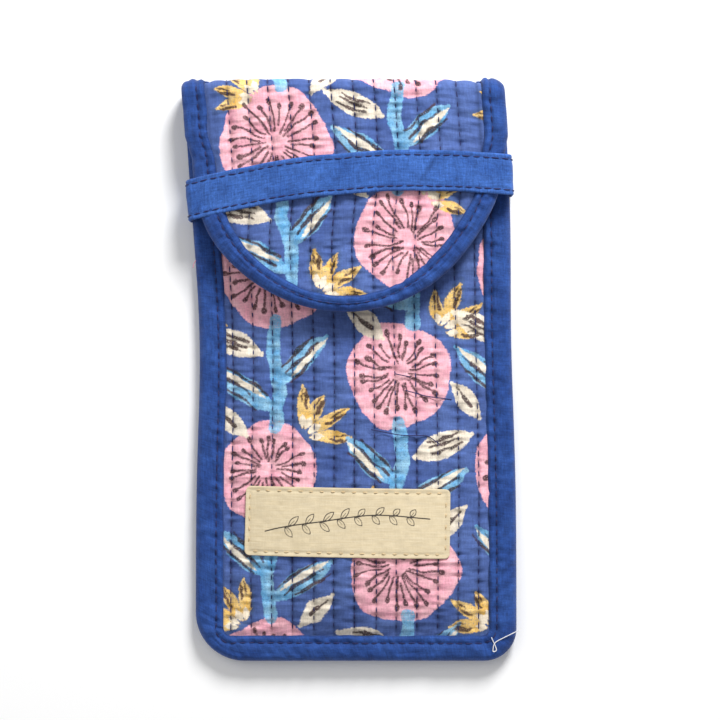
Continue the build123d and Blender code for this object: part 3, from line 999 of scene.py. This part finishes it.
class Binding:
    """A strip of plain cloth rolled over an edge. Its route is sampled along the edge:
    the edge itself, the ways inward and up, the width and half the thickness."""

    def __init__(self, edge, inward, up, width, half, seed):
        along = unit(np.gradient(edge, axis=0))
        true_up = unit(np.cross(inward, along))
        true_up *= np.sign(np.sum(true_up * up, axis=1))[:, None]
        self.columns = np.concatenate([edge, inward, true_up, np.stack([width, half], -1)], 1)
        self.way = lengths_along(edge + unit(inward) * width[:, None] * 0.7)
        self.seed = seed

    def at(self, s):
        """The route at s: the edge, the ways inward and up, the width and half thickness."""
        rows = np.stack([np.interp(s, self.way, column) for column in self.columns.T], -1)
        inward, up = unit(rows[..., 3:6]), unit(rows[..., 6:9])
        return rows[..., :3], inward, up, rows[..., 9], rows[..., 10]

    def tightness(self, s):
        """How sharply the route turns at s, which gathers the cloth there."""
        ahead, behind = self.at(s + 2.5)[1], self.at(s - 2.5)[1]
        return np.clip(np.linalg.norm(ahead - behind, axis=-1) * 2.2, 0, 1)

    def skin(self, s, a, side, inset=0.0):
        """A point of the strip, a in from the edge, on its upper or under side."""
        edge, inward, up, width, half = self.at(s)
        seed = self.seed + (0 if side > 0 else 50)
        turn = np.clip(a / ROLL, 0, 1)
        rise = np.sqrt(np.clip(1 - (1 - turn) ** 2, 0, 1))
        height = half * rise
        stitch = width - TOPSTITCH_INSET
        beat = 0.75 - 0.25 * np.cos(2 * math.pi * s / TOPSTITCH[0])
        groove = hump(a - stitch, 0.55) * 0.42 * beat
        pucker = noise(s, a, 1.6, 2.8, seed) * 0.46 * hump(a - stitch, 2.6)
        pucker = pucker + noise(s + 0.7 * a, a, 2.3, 5.5, seed + 5) * 0.27
        lump = noise(s, a, 6, 7, seed + 1) * 0.32 * turn + noise(s, a, 17, 30, seed + 2) * 0.2
        tuck = smooth((a - width + 0.9) / 0.9) * 0.95
        dome = 0.3 * np.sin(math.pi * np.clip((a - ROLL) / (stitch - ROLL), 0, 1))
        gather = noise(s, a, 0.9, 9, seed + 4) * 0.42 * self.tightness(s) * turn
        lump = lump + gather
        calm = 1.0 if side > 0 else UNDER_CALM
        height = height + calm * (dome + pucker + lump * turn - groove - tuck * 0.9)
        height = np.maximum(height - inset * rise, 0.0)
        wave = noise(s, 0 * s, 4.5, 1, seed + 3) * 0.25 * smooth((a - width + 2) / 2)
        reach = a + wave + inset * (1 - turn)
        return edge + inward * reach[..., None] + up * (side * height)[..., None]

    def piece(self, name):
        """The strip as a closed mesh: its two sides, and a skin's depth in, its inside."""
        count = grid_count(self.way[-1], 0.55, 1)
        s = np.linspace(0, self.way[-1], count)
        share = np.concatenate([np.linspace(0, 1, 12) ** 1.7 * 0.3, np.linspace(0.33, 1, 22)])
        width = self.at(s)[3]
        a = share[None] * width[:, None]
        long = np.repeat(s[:, None], len(share), axis=1)
        thin = slice(None, None, 3)
        upper, lower = self.skin(long, a, 1), self.skin(long, a, -1)
        inner_low = self.skin(long[:, thin], a[:, thin], -1, SKIN)
        inner_up = self.skin(long[:, thin], a[:, thin], 1, SKIN)
        parts = [upper[:, ::-1], lower[:, 1:], inner_low[:, ::-1], inner_up[:, 1:]]
        rings = np.concatenate(parts, axis=1)
        # Painted shade along the stitch groove and at the tucked inner edge, and less of it on the
        # underside.
        shade = hump(a - width[:, None] + TOPSTITCH_INSET, 0.45) * 0.55
        shade = np.maximum(shade, smooth((a - width[:, None] + 0.7) / 0.7) * 0.7)
        cloth = np.stack([a, long, shade], -1)
        other = cloth * (1, 1, 0.4) + (UNDER_MARK, 0, 0)
        marks = [cloth[:, ::-1], other[:, 1:], other[:, thin][:, ::-1], cloth[:, thin][:, 1:]]
        return tube(name, rings, np.concatenate(marks, axis=1))

    def stitch_row(self, clear, side=1):
        """A row of stitches along one side, clear of both ends."""
        s = np.arange(clear, self.way[-1] - clear, SAMPLE)
        up, width = self.at(s)[2:4]
        return self.skin(s, width - TOPSTITCH_INSET, side), up * side


def arc(centre, radius, start, stop, count):
    """Points of an arc, between two angles in degrees."""
    angle = np.radians(np.linspace(start, stop, count))
    return np.stack([centre[0] + radius * np.cos(angle), centre[1] + radius * np.sin(angle)], -1)


def join(*stretches):
    """Stretches of points end to end, each starting where the last one stops."""
    return np.concatenate([stretches[0]] + [part[1:] for part in stretches[1:]])


def straight(start, end, count):
    """Points of a straight line."""
    return np.linspace(start, end, count)


def case_route(half, low, left, right):
    """The sides and bottom of the case, down the left and up the right."""
    top = float(fold_y(half)) - BEND
    side, corner, bottom = 300, 30, 150
    return join(
        straight((-half, top), (-half, low + left), side),
        arc((-half + left, low + left), left, 180, 270, corner),
        straight((-half + left, low), (half - right, low), bottom),
        arc((half - right, low + right), right, -90, 0, corner),
        straight((half, low + right), (half, top), side),
    )


def fold_run(side, x, inner_x, depth, half, under):
    """The stretch of binding that goes round the fold, from its middle to the flat. One
    that starts under the other thins towards the middle, and passes it a little."""
    share = np.linspace(-under / 2, 1, 24)
    thin = under * (1 - share)

    def middle(place, at_depth):
        stop = float(fold_straight(place)) + BEND * math.pi / 2
        return long_panel(place + 0 * share, side * share * stop, at_depth)

    edge, inner = middle(x, depth - thin), middle(inner_x, depth - thin)
    up = unit(middle(x, 0.0) - middle(x, 3.0)) * side
    return [edge, inner - edge, up, np.linalg.norm(inner - edge, axis=1), half - thin]


def add_folds(rows, side, half_width, inner, depth, half, under=0.0):
    """The rows of a binding's flat route, with the fold added at both of its ends."""
    left = fold_run(side, -half_width, -inner, depth, half, under)
    right = [part[::-1] for part in fold_run(side, half_width, inner, depth, half, under)]
    return [np.concatenate([a[:-1], b, c[1:]]) for a, b, c in zip(left, rows, right)]


def body_binding():
    """Round the sides and bottom of the case, and up the back half of the fold."""
    outer = case_route(HALF, BOTTOM, CORNER_LEFT, CORNER_RIGHT)
    inner = case_route(WINDOW, WINDOW_BOTTOM, WINDOW_CORNER, WINDOW_CORNER)
    thick = BACK_TOP + (RIM_TOP - BACK_TOP) * smooth((MOUTH_HIGH[1] + 1.5 - outer[:, 1]) / 8)
    edge = np.column_stack([outer, thick / 2])
    inward = np.column_stack([inner - outer, 0 * thick])
    width = np.linalg.norm(inward, axis=1)
    rows = [edge, inward, np.tile(UPRIGHT, (len(edge), 1)), width, thick / 2]
    middle = BACK_TOP / 2
    joined = add_folds(rows, -1, HALF, WINDOW, middle - BACK_LEVEL, middle, UNDER_FLAP_BINDING)
    strip = Binding(*joined, seed=60)
    nodes = ("body_binding", "fold_binding_left")
    fit(strip.piece("body_binding_strip"), "binding_cloth", nodes, turn=LOWER_TURN)
    rows = [strip.stitch_row(14), strip.stitch_row(14, -1)]
    sew("body_topstitching", rows, ("body_binding_threads",), 8, turn=LOWER_TURN)


def flap_route(inset):
    """The side and round end of the flap, down the left and up the right."""
    half, radius = HALF - inset, flap_radius(inset, 0)
    top = float(fold_y(half)) - BEND
    knee = straight((-half, top), (-half, FLAP_KNEE_Y), 40)
    slope = straight((-half, FLAP_KNEE_Y), (-radius, FLAP_CENTRE_Y), 16)
    angle = np.radians(np.linspace(180, 360, 260))
    reach = flap_radius(inset, -np.sin(angle))
    end = np.stack([reach * np.cos(angle), FLAP_CENTRE_Y + reach * np.sin(angle)], -1)
    mirror = (-1, 1)
    return join(knee, slope, end, slope[::-1] * mirror, knee[::-1] * mirror)


def flap_binding():
    """Round the edge of the flap, and down the front half of the fold."""
    outer, inner = flap_route(0), flap_route(FLAP_BINDING)
    slope = -2 * FLAP_DROP * outer[:, 0] / HALF**2
    up = unit(np.column_stack([-slope, 0 * slope, 1 + 0 * slope]))

    def on_flap(route):
        z = flap_height(route[:, 0]) + tip_lift(route[:, 1]) - FLAP_MIDDLE
        return np.column_stack([route[:, 0] + flap_sway(route[:, 1]), route[:, 1], z])

    edge = on_flap(outer)
    inward = on_flap(inner) - edge
    width = np.linalg.norm(inward, axis=1)
    rows = [edge, inward, up, width, np.full(len(edge), FLAP_HALF)]
    joined = add_folds(rows, 1, HALF, HALF - FLAP_BINDING, FLAP_MIDDLE, FLAP_HALF)
    strip = Binding(*joined, seed=80)
    nodes = ("flap_binding", "fold_binding_right")
    fit(strip.piece("flap_binding_strip"), "binding_cloth", nodes, turn=UPPER_TURN)
    rows = [strip.stitch_row(4)]
    sew("flap_topstitching", rows, ("flap_binding_threads",), 9, turn=UPPER_TURN)


def mouth_binding():
    """Over the open edge of the pocket's front."""
    x = np.linspace(-WINDOW - 1.5, WINDOW + 1.5, 180)
    outer_y = np.full_like(x, MOUTH_HIGH[1])
    z = front_base(x, outer_y) - 1.5
    edge = np.column_stack([x, outer_y, z])
    inward = np.tile([0.0, -1.0, 0.0], (len(x), 1))
    width = np.full_like(x, MOUTH_HIGH[1] - MOUTH_LOW[1])
    up = np.tile(UPRIGHT, (len(x), 1))
    strip = Binding(edge, inward, up, width, np.full_like(x, MOUTH_HALF), seed=90)
    fit(strip.piece("mouth_binding_strip"), "binding_cloth", ("mouth_binding",), "root")
    rows = [strip.stitch_row(1)]
    sew("mouth_topstitching", rows, ("mouth_binding_threads",), 10, body="root")


# -------------------------------------------------------------- the strap and label

STRAP_WIDTH = 12.5
STRAP_THICK = 0.7
STRAP_SEAM = 1.5
STRAP_TAB = 36.0
STRAP_ROOM = 0.9
PRESSED_DEPTH = 3.2
TAB_LEVEL = 0.75
HEEL = 1.1
LABEL_SEAM = 1.3
STRAP_SIDE = cad_box("strap_band")[1][0] - STRAP_THICK
SHOULDER = 2.2


def strap_line(x):
    """The middle of the strap, bowed and a little lower on the left."""
    return 60.2 + 8.16e-2 * x - 1.72e-3 * x * x


def strap_section():
    """The strap's way round the pouch, seen from the bottom: x and z, with its outward side."""
    top_x = np.linspace(-STRAP_SIDE + SHOULDER, STRAP_SIDE - SHOULDER, 210)
    top_z = flap_height(top_x) + 0.95 - 0.2 * (np.abs(top_x) / HALF) ** 8
    shoulder_z = top_z[0] - SHOULDER
    over = np.column_stack([top_x, top_z])
    left_bend = arc((-STRAP_SIDE + SHOULDER, shoulder_z), SHOULDER, 180, 90, 9)
    heel_z = TAB_LEVEL + HEEL
    down = straight((-STRAP_SIDE, heel_z), (-STRAP_SIDE, shoulder_z), 24)
    heel = arc((-STRAP_SIDE + HEEL, heel_z), HEEL, 270, 180, 7)
    tab = straight((-STRAP_TAB, TAB_LEVEL), (-STRAP_SIDE + HEEL, TAB_LEVEL), 28)
    left = join(tab, heel, down, left_bend)
    mirror = (-1, 1)
    return join(left, over, (left * mirror)[::-1])


def strap_crease(x, across):
    """1 along the slanting crease on the right of the strap."""
    reach = smooth((across + 4.5) / 2.5) * smooth((5.0 - across) / 2.5)
    return hump(x - 24 - 0.62 * across, 0.6) * reach


def strap_point(way, across, lift):
    """A point of the strap: along it, across it in y, and above its inner side."""
    section = strap_section()
    places = lengths_along(section)
    near = 0.6
    x0, x, x1 = (np.interp(way + step, places, section[:, 0]) for step in (-near, 0, near))
    z0, z, z1 = (np.interp(way + step, places, section[:, 1]) for step in (-near, 0, near))
    normal = unit(np.stack([z0 - z1, 0 * x, x1 - x0], -1))
    edge = np.abs(across) / (STRAP_WIDTH / 2)
    groove = hump(np.abs(across) - STRAP_WIDTH / 2 + STRAP_SEAM, 0.4)
    relief = 0.13 * noise(x, across, 11, 5, 31) + 0.06 * noise(x, across, 1.7, 1.2, 32)
    beat = 0.8 - 0.2 * np.cos(2 * math.pi * way / STRAP_STITCH[0])
    relief = relief - 0.2 * groove * beat
    relief = relief - 0.5 * strap_crease(x, across)
    round_off = 0.3 * np.clip((edge - 0.93) / 0.07, 0, 1) ** 2
    on_top = smooth((z - 6) / 4)
    height = lift + np.where(lift > 0, relief * on_top - round_off, 0)
    y = strap_line(x) + across + 0.2 * noise(x, 0 * x, 7, 1, 33)
    point = np.stack([x, y, z], -1) + normal * height[..., None]
    return point, normal, places[-1]


def strap():
    """The strap over the flap, with its two rows of stitches."""
    length = strap_point(np.zeros(1), np.zeros(1), np.zeros(1))[2]
    way = np.linspace(0, length, grid_count(length, 0.5, 2))
    across = np.linspace(-STRAP_WIDTH / 2, STRAP_WIDTH / 2, 37)
    w, a = np.meshgrid(way, across)
    top = strap_point(w, a, np.full_like(w, STRAP_THICK))[0]
    under = strap_point(w, a, np.full_like(w, 0.0))[0]
    top[..., 2] = np.maximum(top[..., 2], 0.02)
    # Painted shade in the stitch grooves by both edges and along the slanting crease on top.
    groove = hump(np.abs(a) - STRAP_WIDTH / 2 + STRAP_SEAM, 0.3) * 0.4
    shade = np.maximum(groove, 0.8 * strap_crease(top[..., 0], a) * (top[..., 2] > 6))
    cloth = np.stack([w, a, shade], -1)
    band = shell("strap", top, under, cloth, 2)
    fit(band, "strap_cloth", ("strap_band",), "root", slot="binding_cloth")
    rows = []
    for side in (-1, 1):
        fine = np.arange(16, length - 16, SAMPLE)
        place = np.full_like(fine, side * (STRAP_WIDTH / 2 - STRAP_SEAM))
        rows.append(strap_point(fine, place, np.full_like(fine, STRAP_THICK))[:2])
    sew("strap_topstitching", rows, ("strap_threads",), 12, STRAP_STITCH, body="root")


def label_point(u, v, lift):
    """A point of the label, which lies over the crests of the quilting."""
    x = LABEL_CENTRE[0] + u * math.cos(LABEL_TURN) - v * math.sin(LABEL_TURN)
    y = LABEL_CENTRE[1] + u * math.sin(LABEL_TURN) + v * math.cos(LABEL_TURN)
    edge = np.minimum(LABEL_SIZE[0] / 2 - np.abs(u), LABEL_SIZE[1] / 2 - np.abs(v))
    tuck = hump(edge - LABEL_SEAM, 0.5) * 0.16
    hang = 0.12 * noise(x, y, 9, 6, 71) + 0.05 * noise(x, y, 1.6, 1.4, 72)
    hold = 0.16 * np.cos(2 * math.pi * u / QUILT_PITCH) * np.exp(-edge / 4)
    z = front_base(x, y) - 0.05 + lift + hang + hold - tuck * (lift > 0)
    return np.stack([x, y, z], -1)


def sprig():
    """A plain little branch with paired leaves, printed on the label."""
    share = np.linspace(-1, 1, 17)
    branch = [(25 * t, 1.6 + 2.6 * t - 2.4 * t * t + 0.3 * math.sin(5 * t)) for t in share]
    marks = line(0, branch, 0.19)
    for k in range(8):
        root = (-19 + 5.3 * k, float(np.interp(-19 + 5.3 * k, *zip(*branch))))
        for sign in (-1, 1):
            start = (root[0] + 1.1 * (sign > 0), root[1])
            reach = drawing.uniform(3.6, 5.0) * (1 - 0.045 * k)
            lean = drawing.uniform(0.75, 1.0)
            tip = (start[0] + reach * math.cos(lean), start[1] + sign * reach * math.sin(lean))
            for bulge in (0.95, -0.75):
                cuts = np.linspace(0, 1, 8)
                swell = [bulge * sign * math.sin(math.pi * c) ** 0.8 for c in cuts]
                edge = [between(start, tip, c, w) for c, w in zip(cuts, swell)]
                marks += line(0, edge, 0.14)
            marks += line(0, [start, between(start, tip, 0.6)], 0.1)
    return marks


def label():
    """The label with rounded corners, its printed sprig and its stitches."""
    u = np.linspace(-LABEL_SIZE[0] / 2, LABEL_SIZE[0] / 2, grid_count(LABEL_SIZE[0], 0.24))
    v = np.linspace(-LABEL_SIZE[1] / 2, LABEL_SIZE[1] / 2, grid_count(LABEL_SIZE[1], 0.24))
    a, b = np.meshgrid(u, v)
    corner = 1.6
    past = np.clip(np.abs(a) - LABEL_SIZE[0] / 2 + corner, 0, corner)
    over = np.clip(np.abs(b) - LABEL_SIZE[1] / 2 + corner, 0, corner)
    far = np.maximum(np.hypot(past, over), 1e-6)
    pull = np.where((past > 0) & (over > 0), np.maximum(past, over) / far, 1.0)
    x = a - np.sign(a) * past * (1 - pull)
    y = b - np.sign(b) * over * (1 - pull)
    edge = np.minimum(LABEL_SIZE[0] / 2 - np.abs(a), LABEL_SIZE[1] / 2 - np.abs(b))
    # The third number is painted shade along the stitched seam just inside the edge.
    cloth = np.stack([a, b, hump(edge - LABEL_SEAM, 0.35) * 0.35], -1)
    top = label_point(x, y, LABEL_THICK)
    patch = shell("label", top, label_point(x, y, -0.1), cloth)
    fields = inks(sprig(), *with_coarse(cloth)[:, :2].T)
    add_vectors(patch, "ink_a", fields[:3].T)
    fit(patch, "label_cloth", ("label_patch",), "root")
    w, h = (side / 2 - LABEL_SEAM for side in LABEL_SIZE)
    corners = [(-w, -h), (w, -h), (w, h), (-w, h), (-w, -h)]
    rows = []
    for start, end in zip(corners, corners[1:]):
        route = straight(start, end, 200)
        points = label_point(route[:, 0], route[:, 1], LABEL_THICK + 0 * route[:, 0])
        rows.append((points, np.tile(UPRIGHT, (len(points), 1))))
    nodes = ("label_threads",)
    sew("label_stitching", rows, nodes, 13, LABEL_STITCH, "label_thread", body="root")


# --------------------------------------------------------------------- loose threads


def lay(points, height, rise, count=60):
    """A smooth line through a few given places, lying on a surface."""
    points = np.array(points, float)
    places = np.linspace(0, 1, len(points))
    fine = np.linspace(0, 1, count)
    line_x, line_y = (np.interp(fine, places, points[:, k]) for k in (0, 1))
    kernel = np.hanning(15) / np.hanning(15).sum()
    padded = [np.pad(v, 7, mode="edge") for v in (line_x, line_y)]
    x, y = (np.convolve(v, kernel, mode="valid") for v in padded)
    return np.column_stack([x, y, height(x, y) + rise])


def loose_threads():
    """Thread ends left on the pouch: a white one at a corner, and a few snippets."""

    def on_rim(x, _):
        return RIM_TOP + 0.45 + 0 * x

    white = [(41, -82), (43, -86.5), (41.5, -87), (42, -84), (46, -82), (50, -80)]
    piece = thread("white_thread_end", lay(white, on_rim, 0.1), 0.16)
    fit(piece, "loose_thread", body="root", slot="label_thread")
    curl = [(9, -11), (10.2, -11.3), (10.6, -12.6), (10.2, -13.4)]
    piece = thread("white_lint", lay(curl, front_base, 0.5), 0.08)
    fit(piece, "loose_thread", body="root", slot="label_thread")
    routes = [
        [(12, -1), (17, -2)],
        [(15, -6), (22, -8), (30, -9)],
        [(4, -18), (14, -20), (22, -20), (26, -23)],
    ]
    for k, route in enumerate(routes):
        piece = thread(f"navy_snippet_{k + 1}", lay(route, front_base, 0.25), 0.16)
        fit(piece, "quilting_thread", body="root")
    fibre = [(-48.7, 34), (-49.4, 33), (-49.8, 31.6)]
    piece = thread("pink_fibre", lay(fibre, on_rim, -1.0), 0.1)
    fit(piece, "pink_fibre", body="root", slot="label_thread")


# -------------------------------------------------------------------------- the room


def area_light(name, place, size, power):
    """A round soft light that faces the pouch."""
    data = bpy.data.lights.new(name, "AREA")
    data.shape = "DISK"
    data.size = size
    data.energy = power
    light = bpy.data.objects.new(name, data)
    light.location = place
    light.rotation_mode = "QUATERNION"
    light.rotation_quaternion = (-light.location).to_track_quat("-Z", "Y")
    bpy.context.scene.collection.objects.link(light)


def room():
    """A pale floor, soft light and the camera over the pouch."""
    scene = bpy.context.scene
    mesh = bpy.data.meshes.new("floor")
    reach = 3.0
    corners = [(-reach, -reach, 0), (reach, -reach, 0), (reach, reach, 0), (-reach, reach, 0)]
    mesh.from_pydata(corners, [], [(0, 1, 2, 3)])
    floor = bpy.data.objects.new("floor", mesh)
    floor.location.z = -0.0002
    scene.collection.objects.link(floor)
    shader = Shader("floor")
    shader.surface.inputs["Base Color"].default_value = (0.98, 0.98, 0.98, 1)
    shader.surface.inputs["Roughness"].default_value = 0.9
    mesh.materials.append(shader.material)
    world = bpy.data.worlds.new("soft_sky")
    world.use_nodes = True
    sky = world.node_tree.nodes["Background"].inputs
    sky[0].default_value = (1, 1, 1, 1)
    sky[1].default_value = 0.44
    scene.world = world
    area_light("key", (0.24, 0.70, 0.52), 0.32, 9.8)
    area_light("fill", (-0.45, 0.35, 0.8), 0.6, 1.2)
    camera = bpy.data.cameras.new("camera")
    camera.lens = 145.7
    camera.sensor_width = 36.0
    stand = bpy.data.objects.new("camera", camera)
    stand.location = (0.0012, 0.0032, 0.906)
    scene.collection.objects.link(stand)
    scene.camera = stand
    scene.view_settings.view_transform = "Standard"


room()
front_pieces()
long_pieces(
    "flap",
    ("flap_outer_cloth", "flap_wadding", "fold_outer_cloth"),
    UPPER_TURN,
    ("flap_lining", "fold_lining"),
    ("flap_quilting_threads", "fold_quilting_threads"),
)
long_pieces(
    "back",
    ("back_outer_cloth", "back_wadding", "fold_wadding"),
    LOWER_TURN,
    ("back_lining",),
    ("back_quilting_threads",),
)
body_binding()
flap_binding()
mouth_binding()
strap()
label()
loose_threads()
